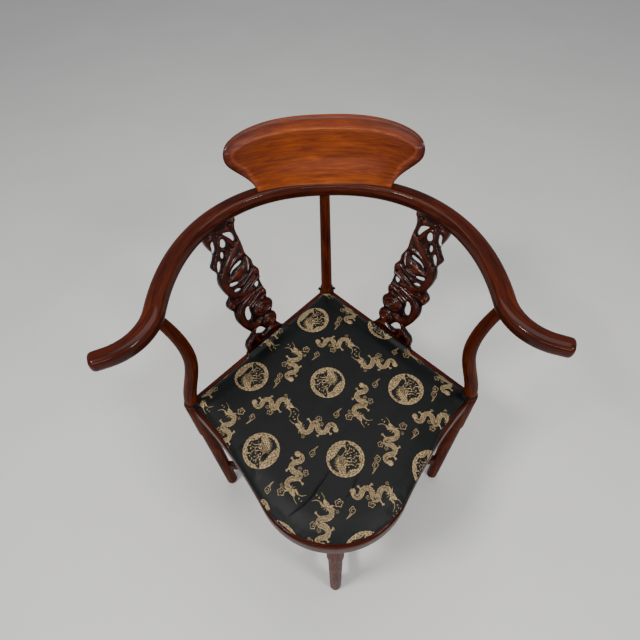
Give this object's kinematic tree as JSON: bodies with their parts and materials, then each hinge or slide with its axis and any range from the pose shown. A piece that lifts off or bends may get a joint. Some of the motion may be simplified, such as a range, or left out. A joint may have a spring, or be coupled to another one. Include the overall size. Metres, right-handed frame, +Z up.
{
  "type": "corner armchair",
  "caption": "Corner armchair of polished rosewood with a bowed arm rail, raised crest panel, carved openwork splats, a serpentine front seat and a tied-on brocade pad.",
  "frame": {"origin": "on the floor under the middle of the chair's box", "axes": "+Z up, -Y to the front corner of the seat, +X to the right as seen from the front"},
  "size_m": [0.728, 0.6344, 0.9015],
  "materials": {
    "rosewood": "dark red-brown rosewood, clear gloss polish",
    "figured_rosewood": "orange-brown figured rosewood, clear gloss polish",
    "plain_wood": "plain hardwood, unpolished",
    "black_brocade": "black satin brocade with woven tan medallions, dragons and clouds",
    "black_cloth": "plain black cloth"
  },
  "bodies": {
    "root": {"arm_rail_back": "rosewood", "arm_rail_left": "rosewood", "arm_rail_right": "rosewood", "crest_panel": "figured_rosewood", "crest_dowel_left": "plain_wood", "crest_dowel_right": "plain_wood", "scarf_pin_left": "plain_wood", "scarf_pin_right": "plain_wood", "front_leg": "rosewood", "rear_leg_post": "rosewood", "left_leg_post": "rosewood", "right_leg_post": "rosewood", "seat_rail_front_left": "rosewood", "seat_rail_front_right": "rosewood", "seat_rail_rear_left": "rosewood", "seat_rail_rear_right": "rosewood", "seat_panel": "plain_wood", "seat_batten_front": "plain_wood", "seat_batten_rear": "plain_wood", "stretcher_side": "rosewood", "stretcher_front_rear": "rosewood", "splat_left": "rosewood", "splat_right": "rosewood", "seat_cushion": "black_brocade", "cushion_tie_left": "black_cloth", "cushion_tie_right": "black_cloth", "cushion_tie_rear": "black_cloth"}
  },
  "joints": []
}
